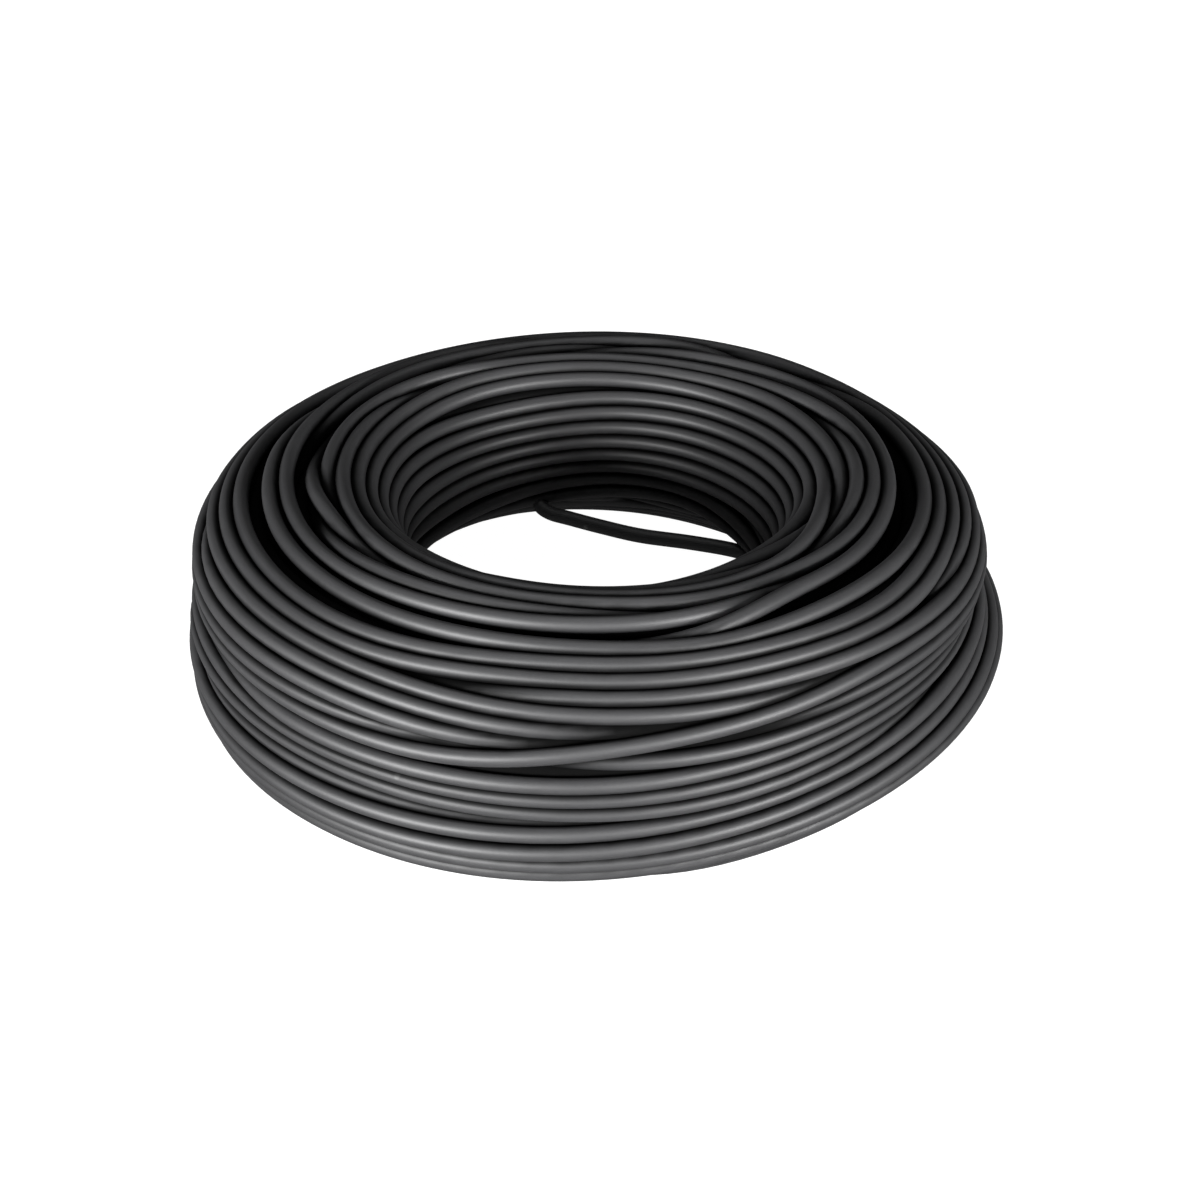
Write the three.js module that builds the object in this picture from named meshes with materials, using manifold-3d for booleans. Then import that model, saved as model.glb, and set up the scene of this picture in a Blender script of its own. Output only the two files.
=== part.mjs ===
import * as THREE from 'three';
import { mergeVertices } from 'three/addons/utils/BufferGeometryUtils.js';
import Module from 'manifold-3d';

// Electrical wire coil: one long insulated wire, wound into a ring that lies flat.
// Millimetres, +Z up. The coil rests on Z = 0, and the origin is the middle of the
// rectangle that it covers there. +X is to the right and -Y to the front.

// The wire, over its insulation
const wireDiameter = 5;

// The ring of turns, measured over the wire
const outerRadius = 125;
const boreRadius = 57.5;
const coilHeight = 74;

// The ring's rounded section, from the foot outwards and round to the foot again.
// Widths run along the radius and heights along Z.
const footOverhang = 7;
const bellyBottom = 14;
const shoulderHeight = 26;
const lipWidth = 24.5;
const lipHeight = 32.5;
const waistHeight = 11;

// How far the undercut beneath the bore bows out past its chord, 0 being straight
const undercutBow = 0.15;

// The foot is flat under one turn and as far as the middle of the turns beside it
const footFlat = 2.1 * wireDiameter;

// The last turns are slack: they hug the foot at the front left and stand off the ring
// at the back right, where they also climb. Angles are degrees from +X.
const slackTurns = 2;
const slackStandOff = 11;
const slackClimb = 20;
const slackAngle = 50;

// The inner end of the wire: it leaves the wall of the bore, doubles back and
// crosses the bore to the wall on the other side
const endBelowWaist = 4;
const endDrop = 4;
const endStartAngle = 70;
const endBendAngle = 102;
const endLandingAngle = 17;
const endBendReach = 10;
const endBow = 2.3;
const endBowPlace = 0.37;
const endBury = 4;

// Facets
const turnedSides = 36;
const tubeSides = 8;
const slackSteps = 36;
const endSteps = 36;
const wallSamples = 200;
const rowCrestAngle = Math.PI / 6;

// Places that follow from the sizes
const wireRadius = wireDiameter / 2;
const footOuter = outerRadius - footOverhang;
const footInner = footOuter - footFlat;
const bellyTop = coilHeight - shoulderHeight;
const crownRadius = boreRadius + lipWidth;
const waistTop = coilHeight - lipHeight;
const waistBottom = waistTop - waistHeight;

const jacket = new THREE.MeshStandardMaterial({ color: 0x2a2a2c, roughness: 0.5, metalness: 0 });

const wasm = await Module();
wasm.setup();

function toSolid(geometry) {
  const bare = geometry.clone();
  bare.deleteAttribute('normal');
  bare.deleteAttribute('uv');
  const merged = mergeVertices(bare, 1e-4);
  return new wasm.Manifold(new wasm.Mesh({
    numProp: 3,
    vertProperties: new Float32Array(merged.attributes.position.array),
    triVerts: new Uint32Array(merged.index.array),
  }));
}

function toGeometry(solid) {
  const mesh = solid.getMesh();
  const geometry = new THREE.BufferGeometry();
  geometry.setAttribute('position', new THREE.BufferAttribute(new Float32Array(mesh.vertProperties), 3));
  geometry.setIndex(new THREE.BufferAttribute(new Uint32Array(mesh.triVerts), 1));
  geometry.computeVertexNormals();
  return geometry;
}

// The line that the centres of the outermost wires follow round the ring's section.
// It starts in the middle of the foot, and x is the radius and y the height.
function sectionPath() {
  const outer = outerRadius - wireRadius;
  const inner = boreRadius + wireRadius;
  const bottom = wireRadius;
  const top = coilHeight - wireRadius;
  const path = new THREE.Path();
  path.moveTo((footInner + footOuter) / 2, bottom);
  path.lineTo(footOuter, bottom);
  path.absellipse(footOuter, bellyBottom, outer - footOuter, bellyBottom - bottom, -Math.PI / 2, 0);
  path.lineTo(outer, bellyTop);
  path.absellipse(crownRadius, bellyTop, outer - crownRadius, top - bellyTop, 0, Math.PI / 2);
  path.absellipse(crownRadius, waistTop, crownRadius - inner, top - waistTop, Math.PI / 2, Math.PI);
  path.lineTo(inner, waistBottom);
  path.bezierCurveTo(
    inner, waistBottom - undercutBow * (waistBottom - bottom),
    footInner - undercutBow * (footInner - inner), bottom,
    footInner, bottom,
  );
  path.lineTo((footInner + footOuter) / 2, bottom);
  return path;
}

// The section's outline: a flat crest over each wire, with a valley where it meets the next
function sectionOutline() {
  const path = sectionPath();
  const rows = Math.floor(path.getLength() / wireDiameter);
  const crestReach = wireRadius / Math.cos(rowCrestAngle);
  const outline = [];
  for (let row = 0; row < rows; row += 1) {
    const before = path.getPoint(((row + rows - 1) % rows) / rows);
    const centre = path.getPoint(row / rows);
    const outward = path.getTangent(row / rows).angle() - Math.PI / 2;
    outline.push(before.add(centre).multiplyScalar(0.5));
    for (const turn of [-rowCrestAngle, rowCrestAngle]) {
      const angle = outward + turn;
      outline.push(new THREE.Vector2(
        centre.x + crestReach * Math.cos(angle),
        centre.y + crestReach * Math.sin(angle),
      ));
    }
  }
  outline.push(outline[0].clone());
  return outline;
}

function turnedRing() {
  const geometry = new THREE.LatheGeometry(sectionOutline(), turnedSides);
  geometry.rotateX(Math.PI / 2);
  return toSolid(geometry);
}

function wireAlong(route, steps) {
  const circle = [];
  for (let side = 0; side < tubeSides; side += 1) {
    const angle = (side * 2 * Math.PI) / tubeSides;
    circle.push(new THREE.Vector2(wireRadius * Math.cos(angle), wireRadius * Math.sin(angle)));
  }
  return new THREE.ExtrudeGeometry(new THREE.Shape(circle), {
    steps,
    extrudePath: route,
    bevelEnabled: false,
  });
}

function onRing(radius, degrees, height) {
  const angle = THREE.MathUtils.degToRad(degrees);
  return new THREE.Vector3(radius * Math.cos(angle), radius * Math.sin(angle), height);
}

// One slack turn: a lathe ring of wire, set off centre and tipped up where it stands off
function slackTurn(layer) {
  const near = footOuter + layer * wireRadius;
  const far = outerRadius - wireRadius + slackStandOff - layer * wireRadius;
  const radius = (far + near) / 2;
  const circle = [];
  for (let side = 0; side <= tubeSides; side += 1) {
    const angle = ((side % tubeSides) * 2 * Math.PI) / tubeSides;
    circle.push(new THREE.Vector2(radius + wireRadius * Math.cos(angle), wireRadius * Math.sin(angle)));
  }
  const geometry = new THREE.LatheGeometry(circle, slackSteps);
  geometry.rotateX(Math.PI / 2);
  geometry.rotateY(-Math.atan2(slackClimb / 2, radius));
  geometry.translate((far - near) / 2, 0, wireRadius + slackClimb / 2 + layer * wireDiameter);
  geometry.rotateZ(THREE.MathUtils.degToRad(slackAngle));
  return toSolid(geometry);
}

// The radius at which the wires of the bore's wall are centred, beneath the ring's crown
function wallRadius(height) {
  const wall = sectionPath().getPoints(wallSamples).filter((point) => point.x < crownRadius);
  const gap = (point) => Math.abs(point.y - height);
  return wall.reduce((best, point) => (gap(point) < gap(best) ? point : best)).x;
}

// The inner end: along the wall, round a tight bend and across the bore
function innerEnd() {
  const start = waistBottom - endBelowWaist;
  const low = start - endDrop;
  const wall = wallRadius(start);
  const bent = onRing(wall - endBendReach, endBendAngle, low);
  const landed = onRing(wallRadius(low) + endBury, endLandingAngle, low);
  const bow = landed.clone().add(bent).setZ(0).setLength(-endBow);
  const route = new THREE.CatmullRomCurve3([
    onRing(wall + endBury, endStartAngle, start),
    onRing(wall, (endStartAngle + endBendAngle) / 2, start),
    onRing(wall - wireRadius / 2, endBendAngle - 5, start),
    onRing(wall - endBendReach / 2, endBendAngle + 2, start - endDrop / 2),
    bent,
    bent.clone().lerp(landed, endBowPlace).add(bow),
    landed,
  ], false, 'centripetal');
  return toSolid(wireAlong(route, endSteps));
}

// Sealed pockets between turns that touch, which come out as shells of negative volume, are filled
function fillPockets(solid) {
  return wasm.Manifold.union(solid.decompose().filter((shell) => shell.volume() > 0));
}

function wholeCoil() {
  let coil = turnedRing().add(innerEnd());
  for (let layer = 0; layer < slackTurns; layer += 1) {
    coil = coil.add(slackTurn(layer));
  }
  const geometry = toGeometry(fillPockets(coil));
  geometry.computeBoundingBox();
  const middle = geometry.boundingBox.getCenter(new THREE.Vector3());
  geometry.translate(-middle.x, -middle.y, 0);
  return geometry;
}

const wireCoil = new THREE.Mesh(wholeCoil(), jacket);
wireCoil.name = 'wire_coil';

const object = new THREE.Group();
object.add(wireCoil);

export default object;
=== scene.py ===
import math

import bmesh
import bpy
import numpy as np
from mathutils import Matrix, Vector


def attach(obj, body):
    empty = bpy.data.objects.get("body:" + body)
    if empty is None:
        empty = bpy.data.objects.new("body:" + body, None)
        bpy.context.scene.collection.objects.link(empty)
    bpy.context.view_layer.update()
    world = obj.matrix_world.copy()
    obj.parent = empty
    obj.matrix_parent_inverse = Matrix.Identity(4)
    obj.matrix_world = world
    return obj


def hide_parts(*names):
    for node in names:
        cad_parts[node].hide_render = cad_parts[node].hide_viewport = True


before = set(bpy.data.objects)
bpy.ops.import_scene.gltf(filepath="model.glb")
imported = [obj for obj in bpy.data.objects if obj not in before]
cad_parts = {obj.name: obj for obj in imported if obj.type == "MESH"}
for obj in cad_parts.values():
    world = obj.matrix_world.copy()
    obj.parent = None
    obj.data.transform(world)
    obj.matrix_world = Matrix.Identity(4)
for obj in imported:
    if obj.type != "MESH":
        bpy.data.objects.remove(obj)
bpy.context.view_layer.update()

# Metres. +Z is up, -Y is the front, and angles are measured from +X towards the back.

# The wire, and the ring of turns that it is wound into
WIRE = 0.005
WIRE_RADIUS = WIRE / 2
OUTER_RADIUS = 0.125
BORE_RADIUS = 0.0575
COIL_HEIGHT = 0.074
RING_AXIS = np.array([-0.004032, -0.004475])

# The ring's rounded section, as widths along the radius and heights
FOOT_OVERHANG = 0.007
BELLY_BOTTOM = 0.014
SHOULDER_HEIGHT = 0.026
LIP_WIDTH = 0.0245
LIP_HEIGHT = 0.0325
WAIST_HEIGHT = 0.011
UNDERCUT_BOW = 0.15
FOOT_FLAT = 2.1 * WIRE

# The camera looks at a place a little to the right of the ring's axis, from the front
CAMERA_AIM = (RING_AXIS[0] + 0.00458, RING_AXIS[1], 0.0226)
CAMERA_DISTANCE = 0.750
CAMERA_ELEVATION = math.radians(30.95)
CAMERA_LENS = 69.4
CAMERA_SENSOR = 36

# The coil slumps a little to the right and to the front, by so much for each metre up
LEAN = np.array([0.058, -0.027])
LEAN_PIVOT = COIL_HEIGHT / 2

# The slack turns: how far the lowest stands off and climbs at the back right, and the slopes
# in degrees at which each lies on the one beneath, at the front left and at the back right.
# The slopes sway a little, and so does the spacing, which counts in wires.
SLACK_TURNS = 4
SLACK_STAND_OFF = 0.011
SLACK_CLIMB = 0.020
SLACK_ANGLE = math.radians(50)
SLACK_STACKING = ((52, 136), (78, 134), (88, 130))
SLACK_SWAY = 14
SLACK_SPACING = 1.10
SLACK_SPACING_SWAY = 0.04

# A slack turn is a closed ring, which starts at the seam and has a point at each step, in degrees
SLACK_SEAM = 140
SLACK_STEP = 2

# Where the slack turns stand out further: angle in degrees, reach, and spread in degrees
SLACK_FLARES = ((-5, 0.0030, 32), (210, 0.0016, 24), (258, 0.0018, 22))

# The winding: slices to a turn, and layers of turns with the depth of each beneath the last
SEED = 11
SLICES = 96
SLICE_ANGLES = np.arange(SLICES) * 2 * np.pi / SLICES
LAYERS = 3
LAYER_DEPTH = 0.87 * WIRE

# How crowded the turns are, and how far they stray, at places round the section's line.
# Places are lengths from the middle of the foot, and stray turns drift by so many wires.
CROWDING_PLACES = (0, 0.012, 0.070, 0.080, 0.108, 0.116, 0.214)
CROWDING = (0.65, 1.05, 1.16, 0.78, 0.78, 1.0, 0.9)
LIVELY_PLACES = (0, 0.010, 0.105, 0.120, 0.160, 0.214)
LIVELY = (0.6, 1.0, 0.9, 0.35, 0.35, 0.5)
SIDE_WANDER = 0.85 * WIRE
SUNK_WANDER = 0.45 * WIRE
WANDER_RATES = (0.2, 0.85)

# Turns at the crown keep further out at the right and further in at the left
CROWN_PLACE = 0.094
CROWN_REACH = 0.016
CROWN_SHIFT = 0.0035

# The settling: its steps, how the turns push each other and creep outwards, and how stiff they are
SETTLING_STEPS = 320
NEIGHBOUR_STEPS = 10
OUTWARD_STEP = 0.00008
PUSH_GAIN = 0.8
WIRE_STIFFNESS = 4
FINAL_STIFFNESS = 2
GROWING_SHARE = 0.8
RELAXING_STEPS = 4
PAIR_REACH = 0.6 * WIRE

# The ripple of the section's outline, from turn to turn and round the ring
RIPPLE = 0.00045
RIPPLES = 7
RIPPLE_LIMITS = (-3 * RIPPLE, 2 * RIPPLE)

# Gaps between turns: middle angle and reach in degrees, start and end place, depth, half width
GAPS = (
    (5, 75, 0.085, 0.090, 0.0013, 0.0036),
    (190, 50, 0.079, 0.082, 0.0008, 0.0021),
    (225, 55, 0.044, 0.044, 0.0005, 0.0012),
    (275, 70, 0.0885, 0.0885, 0.0008, 0.0013),
    (150, 50, 0.100, 0.094, 0.0008, 0.0015),
    (70, 50, 0.098, 0.103, 0.0008, 0.0014),
)
GAP_TAPER = 0.6

# Where the gaps between turns are painted dark, as painted shade: depth beneath the section's line, and
# room to the next wire
PAINTED_SHADE_DEPTHS = (-0.0016, 0.0012)
PAINTED_SHADE_ROOM = (0.0003, 0.0023)

# The grid of radius and height on which distances to the section's line are kept
FIELD_STEP = 0.0005
FIELD_LOW = np.array([0.046, -0.006])
FIELD_HIGH = np.array([0.136, 0.084])

# The layers of turns: name, slices to a turn, and sides of the wire
LAYER_PIECES = (("outer_turns", 144, 14), ("second_turns", 96, 10), ("third_turns", 72, 8))
SLACK_SIDES = 14
INNER_END_SIDES = 16
MIDDLE_STEPS = 72
MIDDLE_COARSENESS = 12

# The jacket's patterns and colours. The mottle is drawn out along the wire, and the scales of
# the others count features in a metre. The size of a nick is a share of the room between nicks.
MOTTLE_STRETCH = (1.0, 1.0, 60.0)
MOTTLE_SCALE = 1.6
GRAIN_SCALE = 1400.0
HAZE_SCALE = 38.0
NICK_SCALE = 36.0
NICK_SIZE = 0.042
NICK_SHARPNESS = 50.0
BUMP_HEIGHT = 0.0001
DARK_JACKET = (0.009, 0.009, 0.0095, 1)
PALE_JACKET = (0.025, 0.025, 0.026, 1)
NICKED_JACKET = (0.045, 0.045, 0.045, 1)
# A near-black colour for the jacket without gloss: painted shade for the gaps between turns
PAINTED_SHADE_JACKET = (0.002, 0.002, 0.002, 1)

# The studio. Softboxes: name, place, aim, width and height, and power in watts
WORLD_STRENGTH = 0.05
FLOOR_REACH = 13
BACKDROP_RADIUS = 12
SOFTBOXES = (
    ("front_left_softbox", (-1.0, -1.1, 0.26), (0, 0, 0.03), (0.9, 0.4), 94),
    ("front_right_softbox", (0.95, -1.1, 0.26), (0, 0, 0.03), (0.7, 0.4), 66),
    ("overhead_softbox", (0.0, 0.1, 1.5), (0, 0, 0), (1.3, 1.0), 6),
)


def camera_at_photo_angle():
    aim = Vector(CAMERA_AIM)
    towards = Vector((0, -math.cos(CAMERA_ELEVATION), math.sin(CAMERA_ELEVATION)))
    data = bpy.data.cameras.new("photo_camera")
    data.lens = CAMERA_LENS
    data.sensor_width = CAMERA_SENSOR
    camera = bpy.data.objects.new("photo_camera", data)
    camera.location = aim + CAMERA_DISTANCE * towards
    camera.rotation_euler = (aim - camera.location).to_track_quat("-Z", "Y").to_euler()
    bpy.context.scene.collection.objects.link(camera)
    bpy.context.scene.camera = camera


# The section of the ring

def arc(centre, half_width, half_height, start, end, steps=60):
    angles = np.radians(np.linspace(start, end, steps))
    return np.stack([centre[0] + half_width * np.cos(angles), centre[1] + half_height * np.sin(angles)], 1)


def bezier(points, steps=60):
    t = np.linspace(0, 1, steps)[:, None]
    a, b, c, d = (np.array(point) for point in points)
    return a * (1 - t) ** 3 + 3 * b * t * (1 - t) ** 2 + 3 * c * t**2 * (1 - t) + d * t**3


def evenly_spaced(points, count):
    lengths = np.concatenate([[0], np.cumsum(np.linalg.norm(np.diff(points, axis=0), axis=1))])
    places = np.linspace(0, lengths[-1], count, endpoint=False)
    return np.stack([np.interp(places, lengths, points[:, i]) for i in range(2)], 1), lengths[-1]


def section_line(count=600):
    """The line through the centres of the outermost wires, from the foot outwards and round."""
    outer, inner = OUTER_RADIUS - WIRE_RADIUS, BORE_RADIUS + WIRE_RADIUS
    bottom, top = WIRE_RADIUS, COIL_HEIGHT - WIRE_RADIUS
    foot_outer = OUTER_RADIUS - FOOT_OVERHANG
    foot_inner = foot_outer - FOOT_FLAT
    belly_top = COIL_HEIGHT - SHOULDER_HEIGHT
    crown = BORE_RADIUS + LIP_WIDTH
    waist_top = COIL_HEIGHT - LIP_HEIGHT
    waist_bottom = waist_top - WAIST_HEIGHT
    foot_middle = [(foot_inner + foot_outer) / 2, bottom]
    points = np.concatenate([
        [foot_middle],
        arc((foot_outer, BELLY_BOTTOM), outer - foot_outer, BELLY_BOTTOM - bottom, -90, 0),
        arc((crown, belly_top), outer - crown, top - belly_top, 0, 90),
        arc((crown, waist_top), crown - inner, top - waist_top, 90, 180),
        bezier([
            (inner, waist_bottom),
            (inner, waist_bottom - UNDERCUT_BOW * (waist_bottom - bottom)),
            (foot_inner - UNDERCUT_BOW * (foot_inner - inner), bottom),
            (foot_inner, bottom),
        ]),
        [foot_middle],
    ])
    return evenly_spaced(points, count)


def outward_normals(line):
    along = np.roll(line, -1, 0) - np.roll(line, 1, 0)
    along /= np.linalg.norm(along, axis=1)[:, None]
    return np.stack([along[:, 1], -along[:, 0]], 1)


class SectionField:
    """Signed distance to the section line, less than nothing inside, on a grid of radius and height."""

    def __init__(self, line):
        self.line = line
        self.normals = outward_normals(line)
        steps = np.round((FIELD_HIGH - FIELD_LOW) / FIELD_STEP).astype(int) + 1
        radii = FIELD_LOW[0] + FIELD_STEP * np.arange(steps[0])
        heights = FIELD_LOW[1] + FIELD_STEP * np.arange(steps[1])
        places = np.stack(np.meshgrid(radii, heights, indexing="ij"), 2)
        self.distance = np.empty(places.shape[:2])
        self.share = np.empty(places.shape[:2])
        for i, row in enumerate(places):
            away = row[:, None] - line[None]
            squares = (away**2).sum(2)
            near = squares.argmin(1)
            picked = away[np.arange(len(row)), near]
            self.distance[i] = (picked * self.normals[near]).sum(1)
            self.share[i] = near / len(line)
        self.slope = np.stack(np.gradient(self.distance, FIELD_STEP), 2)

    def read(self, points):
        places = (points - FIELD_LOW) / FIELD_STEP
        places = np.clip(places, 0, np.array(self.distance.shape) - 1.001)
        low = places.astype(int)
        part = places - low
        i, j = low[:, 0], low[:, 1]
        u, v = part[:, 0], part[:, 1]
        weights = ((1 - u) * (1 - v), u * (1 - v), (1 - u) * v, u * v)
        corners = ((i, j), (i + 1, j), (i, j + 1), (i + 1, j + 1))
        distance = sum(w * self.distance[c] for w, c in zip(weights, corners))
        slope = sum(w[:, None] * self.slope[c] for w, c in zip(weights, corners))
        slope /= np.linalg.norm(slope, axis=1)[:, None] + 1e-9
        return distance, slope, self.share[i, j]


# The winding: every turn of the ring's outer layers, settled against its neighbours

def wandering(rng, places, low, high, waves=8):
    """A smooth random drift of about unit size along the wire, with places counted in turns."""
    drift = np.zeros_like(places)
    for _ in range(waves):
        rate = rng.uniform(low, high)
        drift += rng.normal() * np.sin(2 * np.pi * (rate * places + rng.uniform()))
    return drift / math.sqrt(waves / 2)


def laid_out_turns(rng, line, length):
    """One run of wire that goes round each layer of the section in turn, before it settles."""
    normals = outward_normals(line)
    marks = np.linspace(0, 1, 401)
    crowding = np.interp(marks * length, CROWDING_PLACES, CROWDING)
    filled = np.concatenate([[0], np.cumsum((crowding[1:] + crowding[:-1]) / 2)])
    filled /= filled[-1]
    runs, layers = [], []
    for layer in range(LAYERS):
        depth = layer * LAYER_DEPTH
        turns = int(crowding.mean() * (length - 2 * np.pi * depth) / WIRE)
        places = np.arange(turns * SLICES) / SLICES
        share = np.interp(places / turns, filled, marks)
        if layer % 2:
            share = 1 - share
        angles = 2 * np.pi * places
        lively = np.interp(share * length, LIVELY_PLACES, LIVELY)
        side = lively * SIDE_WANDER * wandering(rng, places, *WANDER_RATES)
        crown = np.exp(-((share * length - CROWN_PLACE) / CROWN_REACH) ** 2)
        side -= crown * CROWN_SHIFT * np.cos(angles)
        sunk = lively * SUNK_WANDER * np.abs(wandering(rng, places, *WANDER_RATES))
        index = ((share + side / length) % 1 * len(line)).astype(int) % len(line)
        runs.append(line[index] - normals[index] * (depth + sunk)[:, None])
        layers.append(np.full(turns, layer))
    return np.concatenate(runs), np.concatenate(layers)


def degrees_from(middle, angles):
    """How far each angle is past the middle one, in degrees from -180 to 180."""
    return (np.degrees(angles) - middle + 180) % 360 - 180


def slack_route(layer, angles):
    """Radius and height of a slack turn about the ring's axis, at each angle."""
    near = OUTER_RADIUS - FOOT_OVERHANG
    far = OUTER_RADIUS - WIRE_RADIUS + SLACK_STAND_OFF
    radius, shift = (far + near) / 2, (far - near) / 2
    turned = angles - SLACK_ANGLE
    climb = (1 + np.cos(turned)) / 2
    reach = shift * np.cos(turned) + np.sqrt(radius**2 - (shift * np.sin(turned)) ** 2)
    for middle, flare, spread in SLACK_FLARES:
        reach += flare * np.exp(-0.5 * (degrees_from(middle, angles) / spread) ** 2)
    route = np.stack([reach, WIRE_RADIUS + SLACK_CLIMB * climb], 1)
    for i, (low, high) in enumerate(SLACK_STACKING[:layer]):
        slope = np.radians(low + (high - low) * climb + SLACK_SWAY * np.sin(2 * angles + 2.4 * i))
        spacing = WIRE * (SLACK_SPACING + SLACK_SPACING_SWAY * np.sin(3 * angles + i))
        route += spacing[:, None] * np.stack([np.cos(slope), np.sin(slope)], 1)
    return route


def gap_route(line, length, gap, angles):
    """Where a gap holds the turns apart: radius and height at each angle, and its half width."""
    middle, reach, start_place, end_place, depth, half_width = gap
    away = degrees_from(middle, angles)
    part = np.clip(away / reach, -1, 1)
    place = start_place + (end_place - start_place) * (part + 1) / 2
    index = (place / length * len(line)).astype(int) % len(line)
    route = line[index] - outward_normals(line)[index] * depth
    widths = half_width * np.cos(part * np.pi / 2) ** GAP_TAPER
    route[np.abs(away) >= reach] = 0
    return route, widths


def close_pairs(points, radii):
    """Index pairs of points that lie within reach of each other in the same slice."""
    count = len(points) // SLICES
    grid = points.reshape(count, SLICES, 2).transpose(1, 0, 2)
    sizes = radii.reshape(count, SLICES).T
    squares = ((grid[:, :, None] - grid[:, None]) ** 2).sum(3)
    reach = sizes[:, :, None] + sizes[:, None] + PAIR_REACH
    slices, first, second = np.nonzero(squares < reach**2)
    keep = first < second
    return first[keep] * SLICES + slices[keep], second[keep] * SLICES + slices[keep]


def smoothed(values, spread):
    """The values with each column blurred along the wire, over so many slices."""
    steps = np.arange(-3 * spread, 3 * spread + 1)
    weights = np.exp(-0.5 * (steps / spread) ** 2)
    weights /= weights.sum()
    padded = np.pad(values, ((len(steps) // 2,) * 2, (0, 0)), mode="edge")
    return np.stack([np.convolve(column, weights, "valid") for column in padded.T], 1)


def pushes(points, pairs, touching, yielding):
    """How far each point moves so that wires no longer overlap."""
    first, second = pairs
    apart = points[first] - points[second]
    gaps = np.linalg.norm(apart, axis=1) + 1e-9
    push = (np.clip(touching - gaps, 0, None) / gaps)[:, None] * apart
    moves = np.zeros_like(points)
    for axis in range(2):
        moves[:, axis] += np.bincount(first, push[:, axis] * yielding, len(points))
        moves[:, axis] -= np.bincount(second, push[:, axis] * (1 - yielding), len(points))
    return moves


def settled_turns(rng, field, length):
    """Radius and height of every slice of the run, once the turns have pushed each other apart."""
    run, layers = laid_out_turns(rng, field.line, length)
    whole = np.full(SLICES, WIRE_RADIUS)
    fixed = [(slack_route(layer, SLICE_ANGLES), whole) for layer in range(SLACK_TURNS)]
    fixed += [gap_route(field.line, length, gap, SLICE_ANGLES) for gap in GAPS]
    points = np.concatenate([run, *(route for route, widths in fixed)])
    radii = np.concatenate([np.full(len(run), WIRE_RADIUS), *(widths for route, widths in fixed)])
    count = len(run)
    run_angles = np.tile(SLICE_ANGLES, count // SLICES)
    ripples = [(rng.integers(1, 4), rng.integers(1, 6), rng.uniform(0, 2 * np.pi)) for _ in range(RIPPLES)]
    for step in range(SETTLING_STEPS):
        growing = step < GROWING_SHARE * SETTLING_STEPS
        if step % NEIGHBOUR_STEPS == 0:
            first, second = close_pairs(points, radii)
            free = first < count
            first, second = first[free], second[free]
            touching = radii[first] + radii[second]
            yielding = np.where(second < count, 0.5, 1.0)
        moves = pushes(points, (first, second), touching, yielding)[:count]
        distance, slope, share = field.read(points[:count])
        ripple = sum(np.sin(m * run_angles + 2 * np.pi * n * share + phase) for m, n, phase in ripples)
        skin = np.clip(RIPPLE * ripple, *RIPPLE_LIMITS)
        moves -= slope * np.clip(distance - skin, 0, None)[:, None]
        if growing:
            moves += slope * OUTWARD_STEP
        points[:count] += PUSH_GAIN * smoothed(moves, WIRE_STIFFNESS if growing else FINAL_STIFFNESS)
        points[:count, 1] = np.maximum(points[:count, 1], WIRE_RADIUS)
        if step % RELAXING_STEPS == 0:
            points[:count] = smoothed(points[:count], 1)
    return points[:count], layers


def leaned(places, angles):
    """Points in the model frame, from radius and height about the ring's axis at each angle."""
    radius, height = places[:, 0], places[:, 1]
    flat = np.stack([radius * np.cos(angles), radius * np.sin(angles)], 1) + RING_AXIS
    flat += (height - LEAN_PIVOT)[:, None] * LEAN
    return np.column_stack([flat, height])


def refined(run, slices):
    """The run's angles, and its radius and height at them, with so many slices to a turn."""
    turns = len(run) / SLICES
    places = np.arange(int(turns * slices)) / slices
    known = np.arange(len(run)) / SLICES
    values = np.stack([np.interp(places, known, run[:, i]) for i in range(2)], 1)
    kernel = np.array([1, 4, 6, 4, 1]) / 16
    for axis in range(2):
        values[:, axis] = np.convolve(np.pad(values[:, axis], 2, mode="edge"), kernel, "valid")
    return places * 2 * np.pi, values


def placed(name, mesh, finish):
    """An object with the mesh and its finish, in the scene."""
    mesh.materials.clear()
    mesh.materials.append(finish)
    piece = bpy.data.objects.new(name, mesh)
    bpy.context.scene.collection.objects.link(piece)
    return piece


def wire_piece(name, route, sides, finish, field, turns, endless=False):
    """A closed tube of wire along the route, with where each point lies on the wire's jacket."""
    curve = bpy.data.curves.new(name, "CURVE")
    curve.dimensions = "3D"
    curve.bevel_depth = WIRE_RADIUS
    curve.bevel_resolution = sides // 2 - 2
    curve.use_fill_caps = not endless
    curve.twist_mode = "MINIMUM"
    spline = curve.splines.new("POLY")
    spline.points.add(len(route) - 1)
    spline.use_cyclic_u = endless
    spline.points.foreach_set("co", np.column_stack([route, np.ones(len(route))]).ravel())
    holder = bpy.data.objects.new(name, curve)
    bpy.context.scene.collection.objects.link(holder)
    bpy.context.view_layer.update()
    mesh = bpy.data.meshes.new_from_object(holder.evaluated_get(bpy.context.evaluated_depsgraph_get()))
    bpy.data.objects.remove(holder)
    bpy.data.curves.remove(curve)
    mesh.name = name
    mesh.shade_smooth()
    place_on_jacket(mesh, route)
    openness_for_painted_shade(mesh, field, turns)
    piece = placed(name, mesh, finish)
    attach(piece, "root")
    return piece


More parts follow.
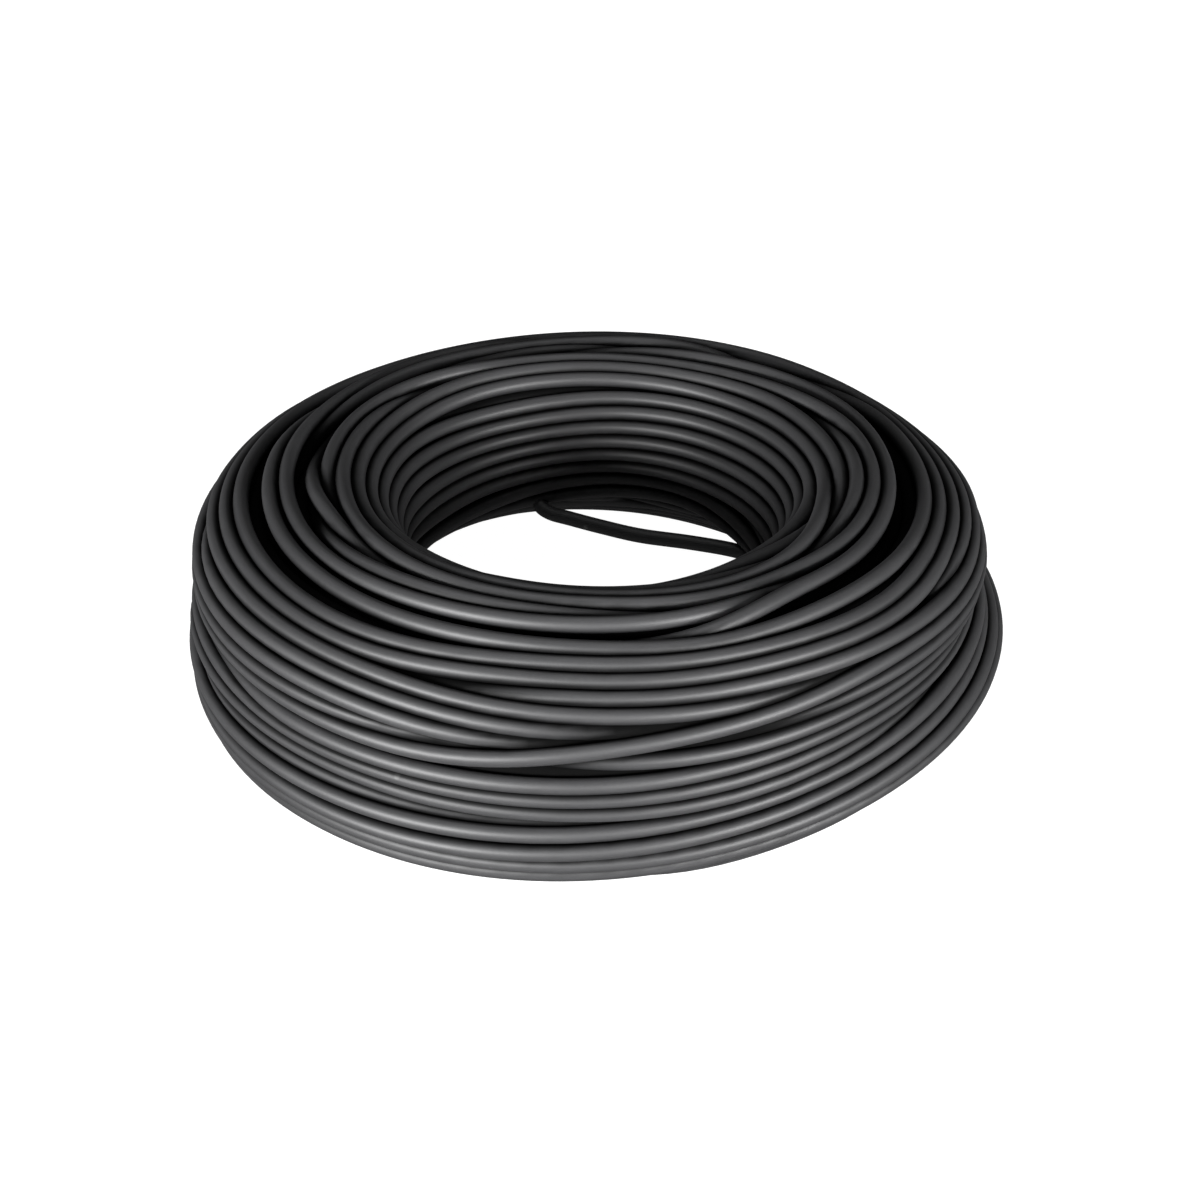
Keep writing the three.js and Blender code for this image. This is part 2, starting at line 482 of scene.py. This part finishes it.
def place_on_jacket(mesh, route):
    """Where each point lies on the wire: round its jacket, and along it."""
    rings = len(route)
    sides = len(mesh.vertices) // rings
    lengths = np.concatenate([[0], np.cumsum(np.linalg.norm(np.diff(route, axis=0), axis=1))])
    around = 2 * np.pi * np.arange(sides) / sides
    places = np.zeros((len(mesh.vertices), 3))
    tube = places[: rings * sides].reshape(rings, sides, 3)
    tube[:, :, 0] = np.cos(around)
    tube[:, :, 1] = np.sin(around)
    tube[:, :, 2] = lengths[:, None]
    attribute = mesh.attributes.new("on_jacket", "FLOAT_VECTOR", "POINT")
    attribute.data.foreach_set("vector", places.ravel())


def openness_for_painted_shade(mesh, field, turns):
    """How open each point is: 1 on the crest of an outer turn, and 0 deep in a gap between turns. It sets
    where the jacket is painted dark, as painted shade in the gaps.
    """
    places = np.empty(len(mesh.vertices) * 3)
    mesh.vertices.foreach_get("co", places)
    places = places.reshape(-1, 3)
    flat = places[:, :2] - RING_AXIS - (places[:, 2:] - LEAN_PIVOT) * LEAN
    section = np.column_stack([np.linalg.norm(flat, axis=1), places[:, 2]])
    distance, slope, share = field.read(section)
    slices = np.round(np.arctan2(flat[:, 1], flat[:, 0]) / (2 * np.pi) * SLICES).astype(int) % SLICES
    by_slice = turns.reshape(-1, SLICES, 2).transpose(1, 0, 2)
    clear = np.empty(len(section))
    for i in range(SLICES):
        inside = np.nonzero(slices == i)[0]
        away = np.linalg.norm(section[inside, None] - by_slice[i], axis=2)
        clear[inside] = np.partition(away, 1, axis=1)[:, 1] - WIRE_RADIUS
    painted_shade_openness = eased(distance, *PAINTED_SHADE_DEPTHS) * eased(clear, *PAINTED_SHADE_ROOM)
    attribute = mesh.attributes.new("painted_shade_openness", "FLOAT", "POINT")
    attribute.data.foreach_set("value", painted_shade_openness)


def eased(values, low, high):
    part = np.clip((values - low) / (high - low), 0, 1)
    return part * part * (3 - 2 * part)


# Materials

class Reading:
    """A shader socket; arithmetic on it adds Math nodes."""

    def __init__(self, finish, socket):
        self.finish, self.socket = finish, socket

    def math(self, operation, first, second):
        return self.finish.node("ShaderNodeMath", {"operation": operation}, {0: first, 1: second}, 0)

    def limited(self):
        """The reading kept from 0 to 1."""
        return self.finish.node("ShaderNodeClamp", {}, {0: self}, 0)

    def __add__(self, other):
        return self.math("ADD", self, other)

    def __sub__(self, other):
        return self.math("SUBTRACT", self, other)

    def __rsub__(self, other):
        return self.math("SUBTRACT", other, self)

    def __mul__(self, other):
        return self.math("MULTIPLY", self, other)

    __radd__, __rmul__ = __add__, __mul__


class Finish:
    """A material, and the nodes that it is built from."""

    def __init__(self, name):
        self.material = bpy.data.materials.new(name)
        self.material.use_nodes = True
        self.tree = self.material.node_tree
        self.tree.nodes.clear()

    def node(self, kind, settings, sockets, output):
        added = self.tree.nodes.new(kind)
        for setting, value in settings.items():
            setattr(added, setting, value)
        for key, value in sockets.items():
            if isinstance(value, Reading):
                self.tree.links.new(value.socket, added.inputs[key])
            else:
                added.inputs[key].default_value = value
        return None if output is None else Reading(self, added.outputs[output])

    def noise(self, place, scale, detail):
        sockets = {"Vector": place, "Scale": scale, "Detail": detail, "Roughness": 0.6}
        return self.node("ShaderNodeTexNoise", {}, sockets, 0)

    def blend(self, share, low, high):
        return self.node("ShaderNodeMix", {"data_type": "RGBA"}, {0: share, 6: low, 7: high}, 2)

    def principled(self, sockets):
        return self.node("ShaderNodeBsdfPrincipled", {}, sockets, "BSDF")

    def ended(self, shader):
        self.node("ShaderNodeOutputMaterial", {}, {"Surface": shader}, None)
        return self.material


def black_jacket():
    finish = Finish("black_wire_jacket")
    place = finish.node("ShaderNodeAttribute", {"attribute_name": "on_jacket"}, {}, "Vector")
    drawn = finish.node("ShaderNodeVectorMath", {"operation": "MULTIPLY"}, {0: place, 1: MOTTLE_STRETCH}, 0)
    mottle = finish.noise(drawn, MOTTLE_SCALE, 3.0)
    body = finish.node("ShaderNodeTexCoord", {}, {}, "Object")
    grain = finish.noise(body, GRAIN_SCALE, 2.0)
    haze = finish.noise(body, HAZE_SCALE, 4.0)
    tone = mottle * 0.3 + haze * 0.4 + grain * 0.3
    cells = finish.node("ShaderNodeTexVoronoi", {}, {"Vector": body, "Scale": NICK_SCALE}, "Distance")
    nick = (NICK_SIZE - cells) * NICK_SHARPNESS
    height = grain * 0.6 + mottle * 0.4 - nick.limited() * 0.8
    # Painted shade: where the openness falls towards 0, deep in the gaps between turns, the jacket gives
    # way to its near-black copy without gloss
    painted_shade_openness = finish.node("ShaderNodeAttribute", {"attribute_name": "painted_shade_openness"}, {}, "Fac")
    painted_shade_jacket = finish.principled({"Base Color": PAINTED_SHADE_JACKET, "Roughness": 0.9, "Specular IOR Level": 0.0})
    bump = {"Strength": 0.35, "Distance": BUMP_HEIGHT, "Height": height}
    colour = finish.blend(tone, DARK_JACKET, PALE_JACKET)
    jacket = finish.principled({
        "Base Color": finish.blend(nick.limited(), colour, NICKED_JACKET),
        "Roughness": tone * 0.14 + 0.45,
        "Specular IOR Level": 0.33,
        "Normal": finish.node("ShaderNodeBump", {}, bump, 0),
    })
    return finish.ended(finish.node("ShaderNodeMixShader", {}, {0: painted_shade_openness, 1: painted_shade_jacket, 2: jacket}, 0))


def plain_finish(name, colour, roughness, glow):
    finish = Finish(name)
    return finish.ended(finish.principled({
        "Base Color": (*colour, 1), "Roughness": roughness,
        "Emission Color": (1, 1, 1, 1), "Emission Strength": glow,
    }))


# The coil

def inner_end_route():
    """The wire's inner end: out of the wall of the bore, round a tight bend, and across the bore."""
    points = np.array([
        [0.0190, 0.0655, 0.0265], [0.0080, 0.0640, 0.0270], [-0.0030, 0.0628, 0.0275],
        [-0.0100, 0.0622, 0.0280], [-0.0140, 0.0600, 0.0278], [-0.0155, 0.0570, 0.0265],
        [-0.0120, 0.0540, 0.0250], [-0.0053, 0.0510, 0.0245], [0.0056, 0.0460, 0.0240],
        [0.0190, 0.0397, 0.0240], [0.0357, 0.0350, 0.0240], [0.0505, 0.0296, 0.0240],
        [0.0620, 0.0245, 0.0225], [0.0720, 0.0215, 0.0218],
    ])
    route = smooth_route(points, 10)
    route[:, :2] += RING_AXIS + (route[:, 2:] - LEAN_PIVOT) * LEAN
    return route


def smooth_route(points, steps):
    """A Catmull-Rom curve through the points."""
    ends = np.concatenate([[2 * points[0] - points[1]], points, [2 * points[-1] - points[-2]]])
    t = (np.arange(steps) / steps)[:, None]
    parts = []
    for a, b, c, d in zip(ends, ends[1:], ends[2:], ends[3:]):
        squared, cubed = 2 * a - 5 * b + 4 * c - d, 3 * b - a - 3 * c + d
        parts.append(0.5 * (2 * b + (c - a) * t + squared * t**2 + cubed * t**3))
    return np.concatenate([*parts, points[-1:]])


def packed_middle(line, finish):
    """The plain middle of the ring, which the outer layers hide. It carries none of the openness that the
    wire pieces carry, so all of it takes the jacket's near-black painted shade.
    """
    inset = line - outward_normals(line) * (LAYERS * LAYER_DEPTH)
    shape = bmesh.new()
    corners = [shape.verts.new((r, 0, z)) for r, z in inset[::MIDDLE_COARSENESS]]
    edges = [shape.edges.new((a, b)) for a, b in zip(corners, corners[1:] + corners[:1])]
    bmesh.ops.spin(
        shape, geom=corners + edges, cent=(0, 0, 0), axis=(0, 0, 1),
        angle=2 * math.pi, steps=MIDDLE_STEPS, use_merge=True,
    )
    bmesh.ops.recalc_face_normals(shape, faces=shape.faces)
    for vertex in shape.verts:
        lean = (vertex.co.z - LEAN_PIVOT) * LEAN
        vertex.co.x += RING_AXIS[0] + lean[0]
        vertex.co.y += RING_AXIS[1] + lean[1]
    mesh = bpy.data.meshes.new("packed_middle")
    shape.to_mesh(mesh)
    shape.free()
    piece = placed("packed_middle", mesh, finish)
    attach(piece, "root")
    return piece


def coil():
    jacket = black_jacket()
    rng = np.random.default_rng(SEED)
    line, length = section_line()
    field = SectionField(line)
    run, layers = settled_turns(rng, field, length)
    turns = np.concatenate([run, *(slack_route(layer, SLICE_ANGLES) for layer in range(SLACK_TURNS))])
    for layer, (name, slices, sides) in enumerate(LAYER_PIECES):
        angles, places = refined(run[np.repeat(layers == layer, SLICES)], slices)
        piece = wire_piece(name, leaned(places, angles), sides, jacket, field, turns)
        if layer == 0:
            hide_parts("wire_coil")
    angles = np.radians(np.arange(SLACK_SEAM, SLACK_SEAM + 360, SLACK_STEP))
    for layer in range(SLACK_TURNS):
        route = leaned(slack_route(layer, angles), angles)
        wire_piece(f"slack_turn_{layer + 1}", route, SLACK_SIDES, jacket, field, turns, endless=True)
    wire_piece("inner_end", inner_end_route(), INNER_END_SIDES, jacket, field, turns)
    packed_middle(line, jacket)


# The studio

def stage_piece(name, shape, finish):
    """Part of the studio, which isn't mirrored in the coil."""
    mesh = bpy.data.meshes.new(name)
    shape.to_mesh(mesh)
    shape.free()
    piece = placed(name, mesh, finish)
    piece.visible_glossy = False
    return piece


def floor_and_backdrop():
    paper = plain_finish("white_paper", (0.2, 0.2, 0.2), 0.8, 1.0)
    shape = bmesh.new()
    bmesh.ops.create_grid(shape, x_segments=1, y_segments=1, size=FLOOR_REACH)
    stage_piece("floor", shape, paper)
    shape = bmesh.new()
    bmesh.ops.create_uvsphere(shape, u_segments=48, v_segments=24, radius=BACKDROP_RADIUS)
    bmesh.ops.reverse_faces(shape, faces=shape.faces)
    backdrop = stage_piece("backdrop", shape, paper)
    backdrop.visible_diffuse = False
    backdrop.visible_shadow = False


def soft_light(name, place, aim, size, power):
    data = bpy.data.lights.new(name, "AREA")
    data.shape = "RECTANGLE"
    data.size, data.size_y = size
    data.energy = power
    light = bpy.data.objects.new(name, data)
    light.location = place
    light.rotation_euler = (Vector(aim) - Vector(place)).to_track_quat("-Z", "Y").to_euler()
    bpy.context.scene.collection.objects.link(light)


def studio():
    world = bpy.data.worlds.new("studio")
    world.use_nodes = True
    background = world.node_tree.nodes["Background"]
    background.inputs["Color"].default_value = (1, 1, 1, 1)
    background.inputs["Strength"].default_value = WORLD_STRENGTH
    bpy.context.scene.world = world
    bpy.context.scene.view_settings.view_transform = "Standard"
    floor_and_backdrop()
    for softbox in SOFTBOXES:
        soft_light(*softbox)


camera_at_photo_angle()
coil()
studio()
